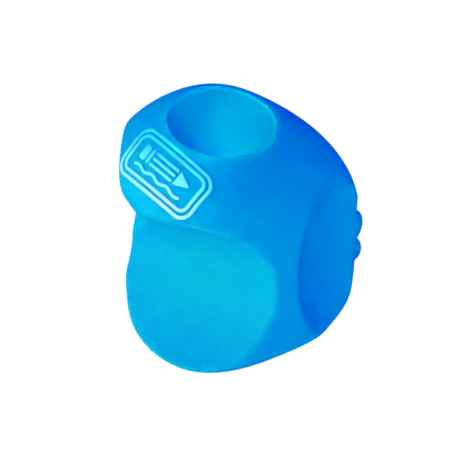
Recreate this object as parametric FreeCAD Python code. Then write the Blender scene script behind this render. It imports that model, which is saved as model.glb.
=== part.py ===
"""Ergonomic pencil grip: a soft moulded sleeve that slides on a pencil and gives the thumb, the first
finger and the middle finger a shallow dish each. A pale raised badge sits on its brow.

Frame: +Z runs up the pencil bore, away from the pencil's point. Z = 0 is the flat lower face, and the
bore's axis is the Z axis. Directions round the bore are angles in degrees: 0 faces -Y, where the thumb
dish is, and 90 faces +X. All lengths are in millimetres.
"""

import FreeCAD
import Part
import math
import os

# ---- Driving dimensions -------------------------------------------------------------------------

# The pencil bore.
BORE_DIAMETER = 8.0
BORE_LIP_RADIUS = 0.3

# The moulding before the dishes are cut: a slightly three-sided barrel with a domed top.
WAIST_HEIGHT = 9.52            # height of the widest level
WAIST_RADIUS = 8.91
BARREL_OFFSET = (1.33, -0.13)  # the barrel's own axis at the waist, from the bore's axis
BARREL_LEAN = (-0.096, 0.153)  # how far that axis moves for each millimetre up
OVAL = (0.04, 136.0)           # share of the waist radius, direction
THREE_SIDED = (0.054, -9.0)    # share of the waist radius, direction of one of the three corners
FOOT_DEPTH = 13.3              # from the widest level down to where the barrel would close
FOOT_POWER = 3.7               # 2 is an ellipse; more is squarer
FOOT_EDGE_RADIUS = 1.8
DOME_HEIGHT = 8.28             # from the widest level up to the dome's top
DOME_TILT = (0.018, -84.0)     # share by which the dome is higher on one side, direction
DOME_POWER = 2.15
DOME_SQUARER = (0.52, -50.0)   # added to the power on one side, direction

# Where the barrel swells out or, with a negative size, draws in: the brow that overhangs the thumb dish
# and carries the badge, the heel below it, the nape on the far side and the throat under the brow. The
# slant lifts a swelling's height on one side of its direction and lowers it on the other.
SWELLINGS = {
    "brow": dict(size=1.95, direction=-57.0, spread=49.0, height=15.52, thickness=2.81, slant=1.04),
    "heel": dict(size=0.94, direction=-8.6, spread=45.8, height=2.39, thickness=3.33, slant=0.0),
    "nape": dict(size=-0.13, direction=-103.6, spread=46.9, height=11.8, thickness=3.04, slant=0.0),
    "throat": dict(size=-1.42, direction=-38.4, spread=28.2, height=10.49, thickness=2.07, slant=0.0),
}

# Each dish is part of an ellipsoid: direction, distance of its deepest point from the bore's axis,
# height of that point, semi-axes (outward, round the bore, up), tilt up and roll. A power above 2 makes
# the ellipsoid's middle section squarer.
DISHES = {
    "thumb": dict(direction=0.0, depth_at=5.17, height=7.04, axes=(18.0, 23.4, 9.8),
                  tilt=5.8, roll=6.1, power=2.62),
    "first_finger": dict(direction=86.0, depth_at=7.5, height=8.1, axes=(23.2, 11.1, 16.3),
                         tilt=2.7, roll=-10.3),
    "middle_finger": dict(direction=-80.0, depth_at=6.22, height=4.41, axes=(12.4, 28.1, 13.6),
                          tilt=7.0, roll=40.9),
}

# Two raised pads on the far edge of the first-finger dish, for feeling the right place: direction, radius
# and height of the centre, semi-axes as above, and tilt up.
PADS = {
    "upper": dict(direction=117.0, radius=10.6, height=6.25, axes=(0.75, 1.0, 1.5), tilt=-12.0),
    "lower": dict(direction=116.5, radius=10.6, height=3.85, axes=(0.85, 1.0, 1.1), tilt=-12.0),
}

# The badge lies on the brow. Its own frame: x along its length, y across it, z out of the brow.
BADGE_CENTRE = (-1.81, -6.06, 16.08)
BADGE_FACING = (-4.0, 57.6)    # direction and height angle of its z
BADGE_TURN = -18.5             # of its x from level
BADGE_LENGTH = 7.5
BADGE_WIDTH = 3.88
BADGE_CORNER = 1.0
BADGE_SLANT = 0.19             # how far its left end leans, for each millimetre across
BADGE_TAPER = 0.07             # share by which its left end is wider than its right end
RIM_WIDTH = 0.24
RIM_GAP = 0.19
RELIEF_HEIGHT = 0.12           # how far the pale pieces stand proud of the brow
RELIEF_DEPTH = 0.25            # how deep they are let in

# The sign inside the badge: a pencil from the side, above the line that it has written.
SIGN_LENGTH = 4.8
PENCIL_HEIGHT = 1.12
PENCIL_RAISE = 0.27            # of the pencil's middle above the badge's
ERASER_LENGTH = 0.62
ERASER_CORNER = 0.2
FERRULE_LENGTH = 0.25
TIP_LENGTH = 1.08
LEAD_WIDTH = 0.14
PART_GAP = 0.17
STRIPE_WIDTH = 0.23            # of the barrel's three long stripes
WRITING_WIDTH = 0.23
WRITING_DROP = 0.78            # of the written line's middle below the badge's
WRITING_WAVE = 0.10
WRITING_WAVES = 3

# How finely the barrel's skin is laid out.
POINTS_ROUND = 30
FOOT_LEVELS = 10
DOME_LEVELS = 13
TOP_RING_RISE = 84.0           # the last ring before the dome closes, inside the bore
BELOW_FACE = 1.0               # the skin starts this far below the lower face
BOWL_POINTS = 17               # along each side of a squarer dish's surface
BOWL_REACH = (0.5, 0.9)        # share of its ellipsoid that this surface spans, across and up


def vector(x, y, z):
    return FreeCAD.Vector(x, y, z)


def outward(direction):
    """The horizontal unit vector that points that way round the bore."""
    a = math.radians(direction)
    return vector(math.sin(a), -math.cos(a), 0)


def cosine(degrees):
    return math.cos(math.radians(degrees))


# ---- The barrel's skin --------------------------------------------------------------------------

def barrel_axis(z):
    """The barrel's own axis at that height."""
    rise = z - WAIST_HEIGHT
    return vector(BARREL_OFFSET[0] + BARREL_LEAN[0] * rise, BARREL_OFFSET[1] + BARREL_LEAN[1] * rise, z)


def waist_radius(direction, z):
    """The barrel's radius before it is rounded off above and below, with its swellings."""
    oval = OVAL[0] * cosine(2 * (direction - OVAL[1]))
    sides = THREE_SIDED[0] * cosine(3 * (direction - THREE_SIDED[1]))
    radius = WAIST_RADIUS * (1 + oval + sides)
    for s in SWELLINGS.values():
        away = (direction - s["direction"] + 180) % 360 - 180
        height = s["height"] + s["slant"] * math.sin(math.radians(away))
        radius += s["size"] * math.exp(-((away / s["spread"]) ** 2) - ((z - height) / s["thickness"]) ** 2)
    return radius


def foot_point(direction, z, proud):
    """A point of the skin at or below the widest level."""
    drop = (WAIST_HEIGHT - z) / (FOOT_DEPTH + proud)
    radius = (waist_radius(direction, z) + proud) * (1 - drop ** FOOT_POWER) ** (1 / FOOT_POWER)
    return barrel_axis(z) + outward(direction) * radius


def dome_point(direction, rise, proud):
    """A point of the skin above the widest level. rise is 0 there and 90 at the top."""
    a = math.radians(rise)
    height = DOME_HEIGHT * (1 + DOME_TILT[0] * cosine(direction - DOME_TILT[1])) + proud
    power = DOME_POWER + DOME_SQUARER[0] * cosine(direction - DOME_SQUARER[1])
    z = WAIST_HEIGHT + height * math.sin(a) ** (2 / power)
    radius = (waist_radius(direction, z) + proud) * math.cos(a) ** (2 / power)
    return barrel_axis(z) + outward(direction) * radius


def ring(point_at):
    """A smooth closed wire through the points that point_at gives for each direction."""
    directions = [360.0 * i / POINTS_ROUND for i in range(POINTS_ROUND + 1)]
    points = [point_at(direction) for direction in directions[:-1]]
    curve = Part.BSplineCurve()
    curve.interpolate(Points=points, PeriodicFlag=True, Parameters=directions)
    return Part.Wire(curve.toShape())


def skin(proud=0.0):
    """The barrel with its domed top as a solid, stood proud of its real surface by that much."""
    rings = []
    for i in range(FOOT_LEVELS):
        z = -BELOW_FACE + (WAIST_HEIGHT + BELOW_FACE) * i / FOOT_LEVELS
        rings.append(ring(lambda direction: foot_point(direction, z, proud)))
    for i in range(DOME_LEVELS):
        rise = TOP_RING_RISE * i / (DOME_LEVELS - 1)
        rings.append(ring(lambda direction: dome_point(direction, rise, proud)))
    top = Part.Vertex(barrel_axis(WAIST_HEIGHT + DOME_HEIGHT + proud))
    return Part.makeLoft([*rings, top], True)


# ---- The body -----------------------------------------------------------------------------------

def ellipsoid(axes):
    """An ellipsoid about the origin with those semi-axes."""
    scale = FreeCAD.Matrix()
    scale.scale(*axes)
    return Part.makeSphere(1.0).transformGeometry(scale)


def bowl(axes, power):
    """The near side of an ellipsoid whose middle section is squarer than an ellipse, as a tall solid."""
    def hollow(across, up):
        edge = (abs(across) ** power + abs(up) ** power) ** (2 / power)
        return vector(-axes[0] * math.sqrt(1 - edge), axes[1] * across, axes[2] * up)

    spread = [2 * i / (BOWL_POINTS - 1) - 1 for i in range(BOWL_POINTS)]
    patch = Part.BSplineSurface()
    patch.interpolate([[hollow(BOWL_REACH[0] * u, BOWL_REACH[1] * v) for v in spread] for u in spread])
    return patch.toShape().extrude(vector(3 * axes[0], 0, 0))


def dish(direction, depth_at, height, axes, tilt, roll, power=2):
    """The solid that cuts one dish."""
    cutter = ellipsoid(axes) if power == 2 else bowl(axes, power)
    cutter.translate(vector(axes[0], 0, 0))
    cutter.rotate(vector(0, 0, 0), vector(1, 0, 0), roll)
    cutter.rotate(vector(0, 0, 0), vector(0, -1, 0), tilt)
    cutter.translate(vector(depth_at, 0, height))
    cutter.rotate(vector(0, 0, 0), vector(0, 0, 1), direction - 90)
    return cutter


def pad(direction, radius, height, axes, tilt):
    """One raised pad, sunk in the body to about its middle."""
    shape = ellipsoid(axes)
    shape.rotate(vector(0, 0, 0), vector(0, -1, 0), tilt)
    shape.translate(vector(radius, 0, height))
    shape.rotate(vector(0, 0, 0), vector(0, 0, 1), direction - 90)
    return shape


def grip_body():
    above_face = Part.makeBox(60, 60, 60, vector(-30, -30, 0))
    body = skin().common(above_face)
    foot = [edge for edge in body.Edges if edge.BoundBox.ZMax < 0.001]
    body = body.makeFillet(FOOT_EDGE_RADIUS, foot)
    for d in DISHES.values():
        body = body.cut(dish(**d))
    for p in PADS.values():
        body = body.fuse(pad(**p))
    body = body.cut(Part.makeCylinder(BORE_DIAMETER / 2, 60, vector(0, 0, -20)))
    return body.makeFillet(BORE_LIP_RADIUS, [edge for edge in body.Edges if on_upper_bore_rim(edge)])


def on_upper_bore_rim(edge):
    box = edge.BoundBox
    reach = max(abs(box.XMin), abs(box.XMax), abs(box.YMin), abs(box.YMax))
    return box.ZMin > WAIST_HEIGHT and reach < BORE_DIAMETER / 2 + 0.05


# ---- The badge ----------------------------------------------------------------------------------

def badge_placement():
    """The badge's frame as a placement."""
    direction, lift = BADGE_FACING
    z = outward(direction) * cosine(lift) + vector(0, 0, math.sin(math.radians(lift)))
    level = outward(direction + 90)
    y_level = z.cross(level)
    turn = math.radians(BADGE_TURN)
    x = level * math.cos(turn) + y_level * math.sin(turn)
    y = z.cross(x)
    rotation = FreeCAD.Rotation(x, y, z, "ZXY")
    return FreeCAD.Placement(vector(*BADGE_CENTRE), rotation)


def on_badge(x, y):
    """A point of the badge's plane. Towards the left end the plane's points lean and spread a little."""
    share = 0.5 - x / BADGE_LENGTH
    return vector(x - BADGE_SLANT * y * share, y * (1 + BADGE_TAPER * share), 0)


def prism(wire):
    """A tall prism over a flat outline in the badge's frame, through the brow's skin."""
    tall = 3.0
    shape = Part.Face(wire).extrude(vector(0, 0, 2 * tall))
    shape.translate(vector(0, 0, -tall))
    return shape


def rounded_outline(x0, x1, y0, y1, radius):
    """A rectangle with four round corners."""
    edges = []
    centres = [(x1 - radius, y0 + radius, 270), (x1 - radius, y1 - radius, 0),
               (x0 + radius, y1 - radius, 90), (x0 + radius, y0 + radius, 180)]
    ends = []
    for cx, cy, start in centres:
        arc = [on_badge(cx + radius * cosine(start + a), cy + radius * math.sin(math.radians(start + a)))
               for a in (0, 45, 90)]
        ends.append((arc[0], arc[2]))
        edges.append(Part.Arc(*arc).toShape())
    for i in range(4):
        a, b = ends[i][1], ends[(i + 1) % 4][0]
        edges.append(Part.makeLine(a, b))
    return Part.Wire(Part.__sortEdges__(edges))


def pill_outline(x0, x1, y0, y1):
    """A rectangle whose two short sides are nearly half circles."""
    return rounded_outline(x0, x1, y0, y1, min(x1 - x0, y1 - y0) * 0.48)


def rim(inset):
    """One of the badge's two rims, that far in from the badge's edge."""
    def frame(more):
        e = inset + more
        return prism(rounded_outline(-BADGE_LENGTH / 2 + e, BADGE_LENGTH / 2 - e,
                                     -BADGE_WIDTH / 2 + e, BADGE_WIDTH / 2 - e, BADGE_CORNER - e * 0.75))
    return frame(0).cut(frame(RIM_WIDTH))


def pencil():
    """The pencil's four parts, as prisms in the badge's frame."""
    left, right = -SIGN_LENGTH / 2, SIGN_LENGTH / 2
    low, high = PENCIL_RAISE - PENCIL_HEIGHT / 2, PENCIL_RAISE + PENCIL_HEIGHT / 2
    ferrule_at = left + ERASER_LENGTH + PART_GAP
    barrel_at = ferrule_at + FERRULE_LENGTH + PART_GAP
    tip_at = right - TIP_LENGTH
    barrel_end = tip_at - PART_GAP

    eraser = prism(rounded_outline(left, left + ERASER_LENGTH, low, high, ERASER_CORNER))
    ferrule = prism(pill_outline(ferrule_at, ferrule_at + FERRULE_LENGTH, low, high))
    stripe_step = (PENCIL_HEIGHT - STRIPE_WIDTH) / 2
    stripes = []
    for i in range(3):
        y = low + i * stripe_step
        stripes.append(prism(pill_outline(barrel_at, barrel_end, y, y + STRIPE_WIDTH)))
    barrel = Part.makeCompound(stripes)
    corners = [(tip_at, low), (right, PENCIL_RAISE - LEAD_WIDTH / 2), (right, PENCIL_RAISE + LEAD_WIDTH / 2),
               (tip_at, high), (tip_at, low)]
    tip = prism(Part.makePolygon([on_badge(x, y) for x, y in corners]))
    return {"badge_eraser": eraser, "badge_ferrule": ferrule, "badge_barrel": barrel, "badge_tip": tip}


def written_line():
    """The wavy line under the pencil, as a prism in the badge's frame."""
    def side(offset):
        count = 8 * WRITING_WAVES + 1
        points = []
        for i in range(count):
            share = i / (count - 1)
            wave = WRITING_WAVE * math.sin(2 * math.pi * WRITING_WAVES * share)
            points.append(on_badge(SIGN_LENGTH * (share - 0.5), -WRITING_DROP + wave + offset))
        curve = Part.BSplineCurve()
        curve.interpolate(points)
        return curve.toShape(), points[0], points[-1]

    upper, upper_start, upper_end = side(WRITING_WIDTH / 2)
    lower, lower_start, lower_end = side(-WRITING_WIDTH / 2)
    edges = [upper, Part.makeLine(upper_end, lower_end), lower, Part.makeLine(lower_start, upper_start)]
    return prism(Part.Wire(Part.__sortEdges__(edges)))


def badge():
    """The badge's pale pieces by name. Each one follows the brow's skin."""
    prisms = {"badge_outer_rim": rim(0), "badge_inner_rim": rim(RIM_WIDTH + RIM_GAP)}
    prisms.update(pencil())
    prisms["badge_line"] = written_line()
    placement = badge_placement()
    around = Part.makeBox(BADGE_LENGTH + 2, BADGE_WIDTH + 2, 6,
                          vector(-(BADGE_LENGTH + 2) / 2, -(BADGE_WIDTH + 2) / 2, -3))
    around.Placement = placement
    layer = skin(RELIEF_HEIGHT).common(around).cut(skin(-RELIEF_DEPTH))
    pieces = {}
    for name, shape in prisms.items():
        shape.Placement = placement
        pieces[name] = layer.common(shape)
    return pieces


# ---- Every node ---------------------------------------------------------------------------------

body = grip_body()
nodes = badge()
for piece in nodes.values():
    body = body.cut(piece)
nodes["grip_body"] = body

os.makedirs("parts", exist_ok=True)
for name, shape in nodes.items():
    whole = shape.Solids[0] if len(shape.Solids) == 1 else Part.makeCompound(shape.Solids)
    whole.exportStep("parts/" + name + ".step")
    print(name, "solids", len(shape.Solids), "valid", shape.isValid(), "volume", round(shape.Volume, 3))
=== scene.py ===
"""Ergonomic pencil grip: the looks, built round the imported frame.

The body is remade as one fine, evenly laid mesh on the same formulas as the CAD model, with its edges
softly rounded as in a real moulding. The badge's pale pieces are remade with rounded tops that follow
the brow. Lengths in this script are millimetres until a mesh is made.
"""

import math

import bmesh
import bpy
import numpy as np
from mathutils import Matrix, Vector


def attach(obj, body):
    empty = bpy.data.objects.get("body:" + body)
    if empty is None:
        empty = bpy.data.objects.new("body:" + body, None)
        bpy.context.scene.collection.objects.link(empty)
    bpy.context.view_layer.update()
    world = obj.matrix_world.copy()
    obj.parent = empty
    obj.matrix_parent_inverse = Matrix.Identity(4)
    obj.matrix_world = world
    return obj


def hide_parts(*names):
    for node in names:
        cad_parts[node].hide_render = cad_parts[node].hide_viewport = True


MM = 0.001

# ---- The design's own sizes, as in the CAD model ------------------------------------------------

BORE_RADIUS = 4.0
WAIST_HEIGHT = 9.52
WAIST_RADIUS = 8.91
BARREL_OFFSET = (1.33, -0.13)
BARREL_LEAN = (-0.096, 0.153)
OVAL = (0.04, 136.0)
THREE_SIDED = (0.054, -9.0)
FOOT_DEPTH = 13.3
FOOT_POWER = 3.7
DOME_HEIGHT = 8.28
DOME_TILT = (0.018, -84.0)
DOME_POWER = 2.15
DOME_SQUARER = (0.52, -50.0)
SWELLINGS = {
    "brow": dict(size=1.95, direction=-57.0, spread=49.0, height=15.52, thickness=2.81, slant=1.04),
    "heel": dict(size=0.94, direction=-8.6, spread=45.8, height=2.39, thickness=3.33, slant=0.0),
    "nape": dict(size=-0.13, direction=-103.6, spread=46.9, height=11.8, thickness=3.04, slant=0.0),
    "throat": dict(size=-1.42, direction=-38.4, spread=28.2, height=10.49, thickness=2.07, slant=0.0),
}
DISHES = {
    "thumb": dict(direction=0.0, depth_at=5.17, height=7.04, axes=(18.0, 23.4, 9.8),
                  tilt=5.8, roll=6.1, power=2.62),
    "first_finger": dict(direction=86.0, depth_at=7.5, height=8.1, axes=(23.2, 11.1, 16.3),
                         tilt=2.7, roll=-10.3),
    "middle_finger": dict(direction=-80.0, depth_at=6.22, height=4.41, axes=(12.4, 28.1, 13.6),
                          tilt=7.0, roll=40.9),
}
PADS = {
    "upper": dict(direction=117.0, radius=10.6, height=6.25, axes=(0.75, 1.0, 1.5), tilt=-12.0),
    "lower": dict(direction=116.5, radius=10.6, height=3.85, axes=(0.85, 1.0, 1.1), tilt=-12.0),
}
BADGE_CENTRE = (-1.81, -6.06, 16.08)
BADGE_FACING = (-4.0, 57.6)
BADGE_TURN = -18.5
BADGE_LENGTH = 7.5
BADGE_WIDTH = 3.88
BADGE_CORNER = 1.0
BADGE_SLANT = 0.19
BADGE_TAPER = 0.07
RIM_WIDTH = 0.24
RIM_GAP = 0.19
RELIEF_HEIGHT = 0.12
SIGN_LENGTH = 4.8
PENCIL_HEIGHT = 1.12
PENCIL_RAISE = 0.27
ERASER_LENGTH = 0.62
ERASER_CORNER = 0.2
FERRULE_LENGTH = 0.25
TIP_LENGTH = 1.08
LEAD_WIDTH = 0.14
PART_GAP = 0.17
STRIPE_WIDTH = 0.23
WRITING_WIDTH = 0.23
WRITING_DROP = 0.78
WRITING_WAVE = 0.10
WRITING_WAVES = 3

# ---- What only the visual model has on its badge pieces ------------------------------------------

RELIEF_SUNK = -0.12            # how far below the brow the pale pieces' undersides are
RELIEF_CROWN = 0.012           # how much higher a stroke is along its middle
EDGE_ROUND = 0.04              # radius of a relief piece's upper edge
EDGE_POINTS = 5                # along that edge's quarter turn
TIP_INNER = 0.36               # from the tip's wide end to the middle that its rings close on
TIP_SOFTNESS = 0.07            # how far from a corner of the tip its rounding starts, about
FADE_WANDER = 0.12             # how far the badge's colours stray from a straight line

# ---- How softly the moulding's edges run into each other: the reach of each blend ----------------

FOOT_BLEND = 2.1
DISH_BLEND = 0.34
PAD_BLEND = 0.45
LIP_BLEND = 0.3

# ---- How finely the body is laid out -------------------------------------------------------------

ROUND_COUNT = 400
LOOP_COUNT = 236
TRACE_STEP = 0.06
TRACE_START_HEIGHT = 9.0
WALL_SHARE = 0.16              # rows on the bore's plain wall, against the same length of skin
FACE_SHARE = 0.4               # the same for the flat lower face
TRACE_LENGTH = 70              # longer than any outline
PROBE = 1e-3                   # half the distance over which a slope is measured

# ---- Camera, lights and surroundings -------------------------------------------------------------

VIEW_AZIMUTH = 25.35
VIEW_ELEVATION = 40.71
VIEW_DISTANCE = 103.8
VIEW_HEIGHT = 9.22             # of the point on the bore's axis that the distance is measured from
AIM_RIGHT = 0.291              # the camera looks this far beside and below that point
AIM_BELOW = 1.916
LENS = 104.8
SENSOR_WIDTH = 36
SOFT_BOX_DISTANCE = 220
SOFT_BOX_WIDTH = 120
SPOT_DISTANCE = 120
SPOT_SOURCE_RADIUS = 2
AMBIENT = (0.0, 0.09, 0.72, 1)   # a blue light from all round
BACKDROP_RADIUS = 450          # of the flat table top
BACKDROP_BULGE = 60            # how much further out the wall goes half-way up


# ---- The body as a formula: negative inside, about the distance in millimetres -------------------

def direction_of(x, y):
    return np.degrees(np.arctan2(x, -y))


def wave(direction, times, towards):
    return np.cos(np.radians(times * (direction - towards)))


def skin(p):
    """The barrel with its domed top, before anything is cut from it."""
    rise = p[2] - WAIST_HEIGHT
    x = p[0] - BARREL_OFFSET[0] - BARREL_LEAN[0] * rise
    y = p[1] - BARREL_OFFSET[1] - BARREL_LEAN[1] * rise
    direction = direction_of(x, y)
    oval = OVAL[0] * wave(direction, 2, OVAL[1])
    three_sided = THREE_SIDED[0] * wave(direction, 3, THREE_SIDED[1])
    radius = WAIST_RADIUS * (1 + oval + three_sided)
    for s in SWELLINGS.values():
        away = (direction - s["direction"] + 180) % 360 - 180
        height = s["height"] + s["slant"] * np.sin(np.radians(away))
        beside, above = away / s["spread"], (p[2] - height) / s["thickness"]
        radius = radius + s["size"] * np.exp(-beside ** 2 - above ** 2)
    dome_height = DOME_HEIGHT * (1 + DOME_TILT[0] * wave(direction, 1, DOME_TILT[1]))
    dome_power = DOME_POWER + DOME_SQUARER[0] * wave(direction, 1, DOME_SQUARER[1])
    height = np.where(rise > 0, dome_height, FOOT_DEPTH)
    power = np.where(rise > 0, dome_power, FOOT_POWER)
    level = ((np.hypot(x, y) / radius) ** power + np.abs(rise / height) ** power) ** (1 / power)
    return (level - 1) * WAIST_RADIUS


def turned_axes(direction, tilt, roll):
    """The outward, sideways and upward unit vectors of an ellipsoid that is turned, tilted and rolled."""
    a, t, r = math.radians(direction), math.radians(tilt), math.radians(roll)
    out = np.array([math.sin(a) * math.cos(t), -math.cos(a) * math.cos(t), math.sin(t)])
    up = np.array([-math.sin(a) * math.sin(t), math.cos(a) * math.sin(t), math.cos(t)])
    side = np.array([math.cos(a), math.sin(a), 0.0])
    return out, side * math.cos(r) + up * math.sin(r), up * math.cos(r) - side * math.sin(r)


def ellipsoid(p, centre, axes, semi_axes, power=2):
    """About the distance outside an ellipsoid, with a squarer middle section where the power is above 2."""
    offset = [p[i] - centre[i] for i in range(3)]
    share = [sum(offset[i] * axis[i] for i in range(3)) / size for axis, size in zip(axes, semi_axes)]
    middle = (np.abs(share[1]) ** power + np.abs(share[2]) ** power + 1e-12) ** (2 / power)
    level = np.sqrt(share[0] ** 2 + middle) + 1e-9
    slope = np.sqrt(sum((s / size) ** 2 for s, size in zip(share, semi_axes))) + 1e-9
    return level * (level - 1) / slope


def around_bore(direction, radius, height):
    a = math.radians(direction)
    return np.array([math.sin(a) * radius, -math.cos(a) * radius, height])


def dish(p, direction, depth_at, height, axes, tilt, roll, power=2):
    turned = turned_axes(direction, tilt, roll)
    deepest = around_bore(direction, depth_at, height)
    return ellipsoid(p, deepest + turned[0] * axes[0], turned, axes, power)


def pad(p, direction, radius, height, axes, tilt):
    return ellipsoid(p, around_bore(direction, radius, height), turned_axes(direction, tilt, 0), axes)


def soft_max(a, b, reach):
    """The larger of two levels, with a smooth change where they are within reach of each other."""
    share = np.clip(0.5 - 0.5 * (b - a) / reach, 0, 1)
    return b + (a - b) * share + reach * share * (1 - share)


def body(p):
    level = soft_max(skin(p), -p[2], FOOT_BLEND)
    for d in DISHES.values():
        level = soft_max(level, -dish(p, **d), DISH_BLEND)
    for d in PADS.values():
        level = -soft_max(-level, -pad(p, **d), PAD_BLEND)
    return soft_max(level, BORE_RADIUS - np.hypot(p[0], p[1]), LIP_BLEND)


# ---- The body's mesh: one closed outline per direction round the bore, traced and laid evenly ----

def half_plane(radius, height, directions):
    a = np.radians(directions)
    return np.array([np.sin(a) * radius, -np.cos(a) * radius, height])


def slope_in_half_plane(radius, height, directions):
    h = PROBE

    def level(r, z):
        return body(half_plane(r, z, directions))

    along_radius = level(radius + h, height) - level(radius - h, height)
    along_height = level(radius, height + h) - level(radius, height - h)
    return along_radius / (2 * h), along_height / (2 * h)


def settle(radius, height, directions):
    """Moves each point onto the body's surface, straight along the slope."""
    for _ in range(2):
        level = body(half_plane(radius, height, directions))
        gr, gz = slope_in_half_plane(radius, height, directions)
        size = gr * gr + gz * gz + 1e-12
        radius, height = radius - level * gr / size, height - level * gz / size
    return radius, height


def traced_outlines(directions):
    """Follows the outline up the bore, over the dome, down the outside and back, all directions at once."""
    start = np.full_like(directions, BORE_RADIUS), np.full_like(directions, TRACE_START_HEIGHT)
    radius, height = settle(*start, directions)
    points = [(radius, height)]
    for _ in range(int(TRACE_LENGTH / TRACE_STEP)):
        gr, gz = slope_in_half_plane(radius, height, directions)
        size = np.hypot(gr, gz) + 1e-12
        radius, height = settle(radius + gz / size * TRACE_STEP, height - gr / size * TRACE_STEP, directions)
        points.append((radius, height))
    return np.array(points)


def evenly_laid(outline):
    """LOOP_COUNT points along one traced outline, fewer on the plain wall and the flat face."""
    radius, height = outline[:, 0], outline[:, 1]
    step = np.hypot(np.diff(radius), np.diff(height))
    along = np.concatenate([[0], np.cumsum(step)])
    back = (along > 25) & (radius < BORE_RADIUS + 0.02) & (height > TRACE_START_HEIGHT)
    last = int(np.argmax(back))
    radius, height, step = radius[:last + 1], height[:last + 1], step[:last]
    middle_radius, middle_height = (radius[1:] + radius[:-1]) / 2, (height[1:] + height[:-1]) / 2
    top = height.max()
    wall = (middle_radius < BORE_RADIUS + 0.01) & (middle_height > 1.0) & (middle_height < top - 1.5)
    face = (middle_height < 0.01) & (middle_radius > BORE_RADIUS + 0.6)
    weight = step * np.where(wall, WALL_SHARE, np.where(face, FACE_SHARE, 1.0))
    along = np.concatenate([[0], np.cumsum(weight)])
    wanted = np.linspace(0, along[-1], LOOP_COUNT, endpoint=False)
    return np.interp(wanted, along, radius), np.interp(wanted, along, height)


def body_grid():
    """The body's points in rows, one row per direction round the bore."""
    directions = np.arange(ROUND_COUNT) * 360.0 / ROUND_COUNT
    traced = traced_outlines(directions)
    laid = np.array([evenly_laid(traced[:, :, i]) for i in range(ROUND_COUNT)])
    radius, height = laid[:, 0], laid[:, 1]
    every = np.repeat(directions, LOOP_COUNT)
    radius, height = settle(radius.ravel(), height.ravel(), every)
    return half_plane(radius, height, every).T.reshape(ROUND_COUNT, LOOP_COUNT, 3)


def slope(p, formula):
    """The unit vector along which the formula grows fastest at each point."""
    steps = np.eye(3)[:, :, None] * PROBE
    g = np.array([formula(p + s) - formula(p - s) for s in steps])
    return g / (np.sqrt((g * g).sum(axis=0)) + 1e-12)


# ---- Meshes --------------------------------------------------------------------------------------

def mesh_piece(name, points, faces, material):
    mesh = bpy.data.meshes.new(name)
    mesh.from_pydata([tuple(v) for v in np.asarray(points) * MM], [], faces)
    shell = bmesh.new()
    shell.from_mesh(mesh)
    bmesh.ops.recalc_face_normals(shell, faces=shell.faces)
    shell.to_mesh(mesh)
    shell.free()
    mesh.polygons.foreach_set("use_smooth", [True] * len(mesh.polygons))
    mesh.materials.append(material)
    mesh.update()
    piece = bpy.data.objects.new(name, mesh)
    bpy.context.scene.collection.objects.link(piece)
    return piece


def tube_faces(rows, count, closed=True):
    """Quads between neighbouring rows. Each row is a loop of points; closed joins the last to the first."""
    faces = []
    for i in range(rows if closed else rows - 1):
        a, b = i * count, (i + 1) % rows * count
        for j in range(count):
            k = (j + 1) % count
            faces.append((a + j, b + j, b + k, a + k))
    return faces


# ---- The badge's own frame -----------------------------------------------------------------------

def badge_axes():
    a, lift, turn = (math.radians(v) for v in (*BADGE_FACING, BADGE_TURN))
    z = np.array([math.sin(a) * math.cos(lift), -math.cos(a) * math.cos(lift), math.sin(lift)])
    level = np.array([math.cos(a), math.sin(a), 0.0])
    x = level * math.cos(turn) + np.cross(z, level) * math.sin(turn)
    return x, np.cross(z, x), z


def on_brow(flat, proud):
    """Points given in the badge's flat frame, moved along its z onto the brow and stood proud of it."""
    x, y, z = badge_axes()
    flat = np.asarray(flat, float)
    share = 0.5 - flat[:, 0] / BADGE_LENGTH
    along = flat[:, 0] - BADGE_SLANT * flat[:, 1] * share
    across = flat[:, 1] * (1 + BADGE_TAPER * share)
    p = np.array(BADGE_CENTRE)[:, None] + x[:, None] * along + y[:, None] * across
    for _ in range(8):
        level = skin(p)
        rate = (skin(p + z[:, None] * PROBE) - skin(p - z[:, None] * PROBE)) / (2 * PROBE)
        p = p - z[:, None] * (level / rate)
    return (p + slope(p, skin) * np.asarray(proud, float)).T


# ---- Relief strokes and patches ------------------------------------------------------------------

def section(width):
    """A stroke's section as (across, proud) pairs: flat sides, rounded shoulders, slightly crowned top."""
    half = width / 2
    out = [(half, RELIEF_SUNK), (half, (RELIEF_HEIGHT - EDGE_ROUND) * 0.5)]
    for a in np.radians(np.linspace(0, 90, EDGE_POINTS)):
        out.append((half - EDGE_ROUND + EDGE_ROUND * math.cos(a),
                    RELIEF_HEIGHT - EDGE_ROUND + EDGE_ROUND * math.sin(a)))
    right = out + [(0.0, RELIEF_HEIGHT + RELIEF_CROWN)]
    left = [(-x, y) for x, y in reversed(out)]
    return right + left


def normals_of(path, closed):
    ahead = np.roll(path, -1, axis=0) - np.roll(path, 1, axis=0)
    if not closed:
        ahead[0] = path[1] - path[0]
        ahead[-1] = path[-1] - path[-2]
    ahead /= np.linalg.norm(ahead, axis=1)[:, None]
    return np.stack([-ahead[:, 1], ahead[:, 0]], axis=1)


def loop_stroke(path, width):
    """A closed raised line along the path, as points and faces."""
    path = np.asarray(path, float)
    side = normals_of(path, True)
    profile = section(width)
    flat, proud = [], []
    for point, n in zip(path, side):
        for across, height in profile:
            flat.append(point + n * across)
            proud.append(height)
    return on_brow(flat, proud), tube_faces(len(path), len(profile))


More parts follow.
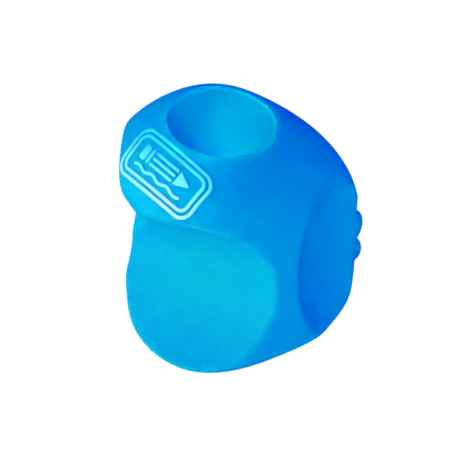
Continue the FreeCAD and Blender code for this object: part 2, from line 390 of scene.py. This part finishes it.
def patch(outline_at, half_width):
    """A raised patch: rings of outline_at(inset) that rise, turn over a round edge and nearly meet on top."""
    rings = [(0.0, RELIEF_SUNK), (0.0, (RELIEF_HEIGHT - EDGE_ROUND) * 0.5)]
    for a in np.radians(np.linspace(0, 90, EDGE_POINTS)):
        rings.append((EDGE_ROUND * (1 - math.cos(a)), RELIEF_HEIGHT - EDGE_ROUND * (1 - math.sin(a))))
    rings.append(((EDGE_ROUND + half_width) / 2, RELIEF_HEIGHT + RELIEF_CROWN * 5 / 6))
    rings.append((half_width * 0.94, RELIEF_HEIGHT + RELIEF_CROWN))
    flat, proud = [], []
    for inset, height in rings:
        outline = outline_at(inset)
        flat.extend(outline)
        proud.extend([height] * len(outline))
    count = len(outline)
    faces = tube_faces(len(rings), count, closed=False)
    last = (len(rings) - 1) * count
    faces.append(tuple(range(last, last + count)))
    faces.append(tuple(range(count)))
    return on_brow(flat, proud), faces


def rounded_rectangle(x0, x1, y0, y1, radius, per_corner=8, per_side=12):
    """Points round a rectangle with round corners, anticlockwise."""
    centres = [(x1 - radius, y0 + radius, 270), (x1 - radius, y1 - radius, 0),
               (x0 + radius, y1 - radius, 90), (x0 + radius, y0 + radius, 180)]
    arcs = []
    for cx, cy, start in centres:
        turns = np.radians(start + np.linspace(0, 90, per_corner))
        arcs.append([(cx + radius * math.cos(a), cy + radius * math.sin(a)) for a in turns])
    points = []
    for i, arc in enumerate(arcs):
        points.extend(arc)
        points.extend(between(arc[-1], arcs[(i + 1) % 4][0], per_side))
    return points


def between(a, b, count):
    """That many points spread evenly between a and b, without the ends."""
    shares = np.linspace(0, 1, count + 2)[1:-1]
    return [(a[0] + (b[0] - a[0]) * t, a[1] + (b[1] - a[1]) * t) for t in shares]


def stroke_outline(path, half_width, per_cap=9):
    """Points round a line of that half width with round ends."""
    path = np.asarray(path, float)
    side = normals_of(path, False)
    upper = path + side * half_width
    lower = (path - side * half_width)[::-1]

    def cap(centre, start):
        turn = math.atan2(start[1], start[0])
        return [centre + half_width * np.array([math.cos(turn - t), math.sin(turn - t)])
                for t in np.linspace(0, math.pi, per_cap)[1:-1]]

    return [*upper, *cap(path[-1], side[-1]), *lower, *cap(path[0], -side[0])]


def straight(a, b, count=24):
    return [a, *between(a, b, count), b]


def raised_stroke(path, width):
    return patch(lambda inset: stroke_outline(path, width / 2 - inset), width / 2)


def tip_outline(corners, inset):
    """The pencil's tip with soft corners, drawn in towards its middle by that much at its wide end."""
    corners = np.asarray(corners, float)
    middle = np.array([corners[:, 0].min() + TIP_INNER, corners[:, 1].mean()])
    corners = middle + (corners - middle) * (1 - inset / TIP_INNER)
    soft = TIP_SOFTNESS * (1 - inset / TIP_INNER)
    points = []
    for i, corner in enumerate(corners):
        back, ahead = corners[i - 1] - corner, corners[(i + 1) % len(corners)] - corner
        reach = min(soft * 1.3, np.linalg.norm(back) * 0.45, np.linalg.norm(ahead) * 0.45)
        start = corner + back / np.linalg.norm(back) * reach
        end = corner + ahead / np.linalg.norm(ahead) * reach
        bend = [start * (1 - t) ** 2 + corner * 2 * t * (1 - t) + end * t * t for t in np.linspace(0, 1, 6)]
        if points:
            points.extend(between(points[-1], bend[0], 10))
        points.extend(bend)
    points.extend(between(points[-1], points[0], 10))
    return points


def joined(parts):
    """Several (points, faces) as one."""
    points, faces, shift = [], [], 0
    for p, f in parts:
        points.append(p)
        faces.extend(tuple(i + shift for i in face) for face in f)
        shift += len(p)
    return np.concatenate(points), faces


# ---- Colours and materials ------------------------------------------------------------------------

def new_material(name):
    material = bpy.data.materials.new(name)
    material.use_nodes = True
    tree = material.node_tree
    shader = tree.nodes["Principled BSDF"]
    return material, tree, shader


def object_noise(tree, scale, detail):
    """A cloud fixed to the grip. Its scale counts clouds in a metre."""
    place = tree.nodes.new("ShaderNodeTexCoord")
    noise = tree.nodes.new("ShaderNodeTexNoise")
    noise.inputs["Scale"].default_value = scale
    noise.inputs["Detail"].default_value = detail
    tree.links.new(place.outputs["Object"], noise.inputs["Vector"])
    return noise


def ranged(tree, value, low, high):
    """A noise value, which seldom leaves 0.3 to 0.7, stretched from low to high."""
    spread = tree.nodes.new("ShaderNodeMapRange")
    spread.inputs["From Min"].default_value = 0.3
    spread.inputs["From Max"].default_value = 0.7
    spread.inputs["To Min"].default_value = low
    spread.inputs["To Max"].default_value = high
    tree.links.new(value, spread.inputs["Value"])
    return spread.outputs["Result"]


def mixed(tree, factor, low, high):
    mix = tree.nodes.new("ShaderNodeMix")
    mix.data_type = "RGBA"
    mix.inputs["A"].default_value = low
    mix.inputs["B"].default_value = high
    tree.links.new(factor, mix.inputs["Factor"])
    return mix.outputs["Result"]


def fade(tree, direction, start, end, stops):
    """Colours that change along a line fixed to the grip, from start to end, a little unevenly."""
    place = tree.nodes.new("ShaderNodeTexCoord")
    along = tree.nodes.new("ShaderNodeVectorMath")
    along.operation = "DOT_PRODUCT"
    along.inputs[1].default_value = direction
    tree.links.new(place.outputs["Object"], along.inputs[0])
    cloud = object_noise(tree, 700, 3)
    wander = ranged(tree, cloud.outputs["Fac"], -FADE_WANDER * MM, FADE_WANDER * MM)
    uneven = tree.nodes.new("ShaderNodeMath")
    tree.links.new(along.outputs["Value"], uneven.inputs[0])
    tree.links.new(wander, uneven.inputs[1])
    share = tree.nodes.new("ShaderNodeMapRange")
    share.inputs["From Min"].default_value = start * MM
    share.inputs["From Max"].default_value = end * MM
    tree.links.new(uneven.outputs["Value"], share.inputs["Value"])
    ramp = tree.nodes.new("ShaderNodeValToRGB")
    ramp.color_ramp.elements[0].color = stops[0]
    ramp.color_ramp.elements[1].color = stops[-1]
    for i, colour in enumerate(stops[1:-1]):
        ramp.color_ramp.elements.new((i + 1) / (len(stops) - 1)).color = colour
    tree.links.new(share.outputs["Result"], ramp.inputs["Fac"])
    return ramp.outputs["Color"]


def soft_skin(tree, shader, roughness, grain_depth):
    """A satin moulded surface: cloudy roughness and the tool's fine grain."""
    patches = object_noise(tree, 900, 4)
    tree.links.new(ranged(tree, patches.outputs["Fac"], *roughness), shader.inputs["Roughness"])
    grain = object_noise(tree, 6500, 2)
    bump = tree.nodes.new("ShaderNodeBump")
    bump.inputs["Strength"].default_value = 0.25
    bump.inputs["Distance"].default_value = grain_depth * MM
    tree.links.new(grain.outputs["Fac"], bump.inputs["Height"])
    tree.links.new(bump.outputs["Normal"], shader.inputs["Normal"])


def blue_silicone():
    """Soft translucent silicone: blue light travels far inside it, green a little and red not at all."""
    material, tree, shader = new_material("blue_silicone")
    cloud = object_noise(tree, 220, 3)
    share = ranged(tree, cloud.outputs["Fac"], 0, 1)
    colour = mixed(tree, share, (0.0, 0.365, 0.93, 1), (0.0, 0.345, 0.92, 1))
    tree.links.new(colour, shader.inputs["Base Color"])
    soft_skin(tree, shader, (0.48, 0.58), 0.004)
    shader.inputs["IOR"].default_value = 1.41
    shader.inputs["Specular IOR Level"].default_value = 0.25
    shader.inputs["Specular Tint"].default_value = (0.0, 0.5, 1.0, 1)
    shader.inputs["Subsurface Weight"].default_value = 1.0
    shader.inputs["Subsurface Radius"].default_value = (0.3, 0.4, 7.0)
    shader.inputs["Subsurface Scale"].default_value = MM
    return material


def pale_silicone():
    """The badge's paler silicone with painted light in its colour: a painted highlight makes it nearly white
    towards the thumb dish and leaves it blue towards the bore, and painted light and shade along its length
    evens out how the lights fall on it.
    """
    material, tree, shader = new_material("pale_silicone")
    x, y, _ = badge_axes()
    down = 0.2 * x - 0.98 * y
    middle = float(np.dot(down, BADGE_CENTRE))
    # Painted highlight: the colour runs from blue towards the bore to nearly white towards the thumb dish,
    # where the light falls.
    painted_highlight_stops = [(0.02, 0.60, 1, 1), (0.06, 0.59, 1, 1), (0.12, 0.68, 1, 1),
              (0.18, 0.66, 1, 1), (0.34, 0.60, 1, 1), (0.46, 0.63, 1, 1)]
    colour = fade(tree, down, middle - 1.9, middle + 2.5, painted_highlight_stops)
    middle = float(np.dot(x, BADGE_CENTRE))
    # Painted light and shade along the badge's length: this tint lightens its shaded top-left end and evens
    # out how the lights fall on the rest.
    uneven = [(0.9, 1.05, 1, 1), (0.6, 0.96, 1, 1), (0.8, 0.96, 1, 1), (0.95, 1, 1, 1), (0.8, 1.1, 1, 1)]
    painted_shade_tint = fade(tree, x, middle - BADGE_LENGTH / 2, middle + BADGE_LENGTH / 2, uneven)
    both = tree.nodes.new("ShaderNodeMix")
    both.data_type = "RGBA"
    both.blend_type = "MULTIPLY"
    both.inputs["Factor"].default_value = 1.0
    tree.links.new(colour, both.inputs["A"])
    tree.links.new(painted_shade_tint, both.inputs["B"])
    tree.links.new(both.outputs["Result"], shader.inputs["Base Color"])
    soft_skin(tree, shader, (0.44, 0.54), 0.003)
    shader.inputs["IOR"].default_value = 1.41
    shader.inputs["Specular IOR Level"].default_value = 0.2
    shader.inputs["Subsurface Weight"].default_value = 0.4
    shader.inputs["Subsurface Radius"].default_value = (0.2, 0.25, 0.3)
    shader.inputs["Subsurface Scale"].default_value = MM
    return material


# ---- Building ----------------------------------------------------------------------------------

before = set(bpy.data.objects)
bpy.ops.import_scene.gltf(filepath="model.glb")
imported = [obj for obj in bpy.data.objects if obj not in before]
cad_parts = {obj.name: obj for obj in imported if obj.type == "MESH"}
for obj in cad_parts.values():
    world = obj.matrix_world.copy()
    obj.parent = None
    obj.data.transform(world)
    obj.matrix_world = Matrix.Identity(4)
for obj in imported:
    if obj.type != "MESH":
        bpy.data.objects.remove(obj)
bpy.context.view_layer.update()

blue = blue_silicone()
pale = pale_silicone()

grid = body_grid()
grip = mesh_piece("grip_moulding", grid.reshape(-1, 3), tube_faces(ROUND_COUNT, LOOP_COUNT), blue)
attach(grip, "root")
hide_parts("grip_body")


def badge_piece(name, shape, node):
    points, faces = shape
    piece = mesh_piece(name, points, faces, pale)
    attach(piece, "root")
    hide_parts(node)
    return piece


def rim_path(inset):
    """The middle line of the rim whose outer edge is that far in from the badge's edge."""
    e = inset + RIM_WIDTH / 2
    x, y = BADGE_LENGTH / 2 - e, BADGE_WIDTH / 2 - e
    return rounded_rectangle(-x, x, -y, y, BADGE_CORNER - e * 0.75, per_corner=16, per_side=40)


badge_piece("outer_rim", loop_stroke(rim_path(0), RIM_WIDTH), "badge_outer_rim")
badge_piece("inner_rim", loop_stroke(rim_path(RIM_WIDTH + RIM_GAP), RIM_WIDTH), "badge_inner_rim")

left, right = -SIGN_LENGTH / 2, SIGN_LENGTH / 2
low, high = PENCIL_RAISE - PENCIL_HEIGHT / 2, PENCIL_RAISE + PENCIL_HEIGHT / 2
ferrule_at = left + ERASER_LENGTH + PART_GAP
barrel_at = ferrule_at + FERRULE_LENGTH + PART_GAP
tip_at = right - TIP_LENGTH
barrel_end = tip_at - PART_GAP


def eraser_outline(inset):
    return rounded_rectangle(left + inset, left + ERASER_LENGTH - inset, low + inset, high - inset,
                             max(ERASER_CORNER - inset, 0.01))


def upright(x, width):
    """The middle line of an upright stroke as high as the pencil."""
    return straight((x, low + width / 2), (x, high - width / 2))


def level_line(x0, x1, y, width):
    return straight((x0 + width / 2, y), (x1 - width / 2, y), 40)


badge_piece("pencil_eraser", patch(eraser_outline, ERASER_LENGTH / 2), "badge_eraser")
ferrule = upright(ferrule_at + FERRULE_LENGTH / 2, FERRULE_LENGTH)
badge_piece("pencil_ferrule", raised_stroke(ferrule, FERRULE_LENGTH), "badge_ferrule")
stripe_step = (PENCIL_HEIGHT - STRIPE_WIDTH) / 2
stripes = []
for i in range(3):
    y = low + STRIPE_WIDTH / 2 + i * stripe_step
    stripes.append(raised_stroke(level_line(barrel_at, barrel_end, y, STRIPE_WIDTH), STRIPE_WIDTH))
badge_piece("pencil_barrel", joined(stripes), "badge_barrel")
lead_low, lead_high = PENCIL_RAISE - LEAD_WIDTH / 2, PENCIL_RAISE + LEAD_WIDTH / 2
tip_corners = [(tip_at, low), (right, lead_low), (right, lead_high), (tip_at, high)]
badge_piece("pencil_tip", patch(lambda inset: tip_outline(tip_corners, inset), TIP_INNER), "badge_tip")
shares = np.linspace(0, 1, 97)
writing = np.stack([left + WRITING_WIDTH / 2 + (SIGN_LENGTH - WRITING_WIDTH) * shares,
                    -WRITING_DROP + WRITING_WAVE * np.sin(2 * math.pi * WRITING_WAVES * shares)], axis=1)
badge_piece("written_line", raised_stroke(writing, WRITING_WIDTH), "badge_line")

# ---- Floor, light and camera ---------------------------------------------------------------------

def towards(azimuth, elevation):
    a, e = math.radians(azimuth), math.radians(elevation)
    return Vector((math.sin(a) * math.cos(e), -math.cos(a) * math.cos(e), math.sin(e)))


def place_camera():
    back = towards(VIEW_AZIMUTH, VIEW_ELEVATION)
    side = Vector((0, 0, 1)).cross(back).normalized()
    above = back.cross(side)
    centre = Vector((0, 0, VIEW_HEIGHT))
    spot = centre + back * VIEW_DISTANCE
    aim = centre + side * AIM_RIGHT - above * AIM_BELOW
    data = bpy.data.cameras.new("camera")
    data.lens = LENS
    data.sensor_width = SENSOR_WIDTH
    data.clip_start, data.clip_end = 0.005, 5
    camera = bpy.data.objects.new("camera", data)
    camera.location = spot * MM
    camera.rotation_euler = (aim - spot).to_track_quat("-Z", "Y").to_euler()
    bpy.context.scene.collection.objects.link(camera)
    bpy.context.scene.camera = camera


def aimed_light(name, kind, azimuth, elevation, distance, power, colour, target):
    """A light at that direction and distance from the target point, aimed at it."""
    data = bpy.data.lights.new(name, kind)
    data.energy = power
    data.color = colour
    light = bpy.data.objects.new(name, data)
    light.visible_camera = False
    target = Vector(target)
    direction = towards(azimuth, elevation)
    light.location = (target + direction * distance) * MM
    light.rotation_euler = (-direction).to_track_quat("-Z", "Y").to_euler()
    bpy.context.scene.collection.objects.link(light)
    return data


def soft_box(name, azimuth, elevation, power, colour):
    target = (0, 0, VIEW_HEIGHT)
    data = aimed_light(name, "AREA", azimuth, elevation, SOFT_BOX_DISTANCE, power, colour, target)
    data.shape = "DISK"
    data.size = SOFT_BOX_WIDTH * MM


def spotlight(name, azimuth, elevation, power, colour, target, spread, blend):
    """A narrow soft-edged spotlight. The spread is the width of its pool at the target."""
    data = aimed_light(name, "SPOT", azimuth, elevation, SPOT_DISTANCE, power, colour, target)
    data.spot_size = 2 * math.atan(spread / 2 / SPOT_DISTANCE)
    data.spot_blend = blend
    data.shadow_soft_size = SPOT_SOURCE_RADIUS * MM


def place_backdrop():
    """A plain white table top that turns up into a round wall. Only the camera sees it: the lights and the
    surroundings reach the grip as if it weren't there, so no grey or coloured light comes off it."""
    material, tree, shader = new_material("white_paper")
    shader.inputs["Base Color"].default_value = (0.02, 0.02, 0.02, 1)
    shader.inputs["Roughness"].default_value = 0.9
    shader.inputs["Specular IOR Level"].default_value = 0.0
    shader.inputs["Emission Color"].default_value = (1, 1, 1, 1)
    shader.inputs["Emission Strength"].default_value = 1.0
    round_count, turn_count = 64, 24
    rows = [(BACKDROP_RADIUS * 0.02, 0.0), (BACKDROP_RADIUS, 0.0)]
    for a in np.radians(np.linspace(0, 88, turn_count)):
        rows.append((BACKDROP_RADIUS * math.cos(a) + BACKDROP_BULGE * math.sin(2 * a),
                     (BACKDROP_RADIUS + BACKDROP_BULGE) * math.sin(a) ** 1.1 + 0.01))
    points = []
    for radius, height in rows:
        for k in range(round_count):
            turn = 2 * math.pi * k / round_count
            points.append((radius * math.cos(turn), radius * math.sin(turn), height))
    faces = tube_faces(len(rows), round_count, closed=False)
    faces.append(tuple(range(round_count)))
    backdrop = mesh_piece("backdrop", points, faces, material)
    for ray in ("diffuse", "glossy", "transmission", "shadow"):
        setattr(backdrop, "visible_" + ray, False)


place_camera()
place_backdrop()
world = bpy.data.worlds.new("studio")
world.use_nodes = True
world.node_tree.nodes["Background"].inputs["Color"].default_value = AMBIENT
world.node_tree.nodes["Background"].inputs["Strength"].default_value = 1.0
bpy.context.scene.world = world

# Three soft boxes, the light that comes back off the table, and a narrow spot each for bore and badge.
soft_box("front_left", VIEW_AZIMUTH - 60, 6, 0.261, (0.9, 1.0, 0.17))
soft_box("left", VIEW_AZIMUTH - 90, 28, 0.285, (0.9, 1.0, 0.03))
soft_box("front_right", VIEW_AZIMUTH + 15, 28, 0.307, (0.9, 1.0, 0.01))
soft_box("off_the_table", VIEW_AZIMUTH - 20, -25, 0.155, (0.9, 1.0, 0.0))
spotlight("into_bore", VIEW_AZIMUTH - 20, 64, 2.05, (0.9, 1.0, 0.24), (0, 0, 16.7), 6.4, 0.4)
spotlight("on_badge", VIEW_AZIMUTH - 10, 55, 0.29, (0.6, 0.5, 1.0), BADGE_CENTRE, 10.5, 0.8)
bpy.context.scene.view_settings.view_transform = "Standard"
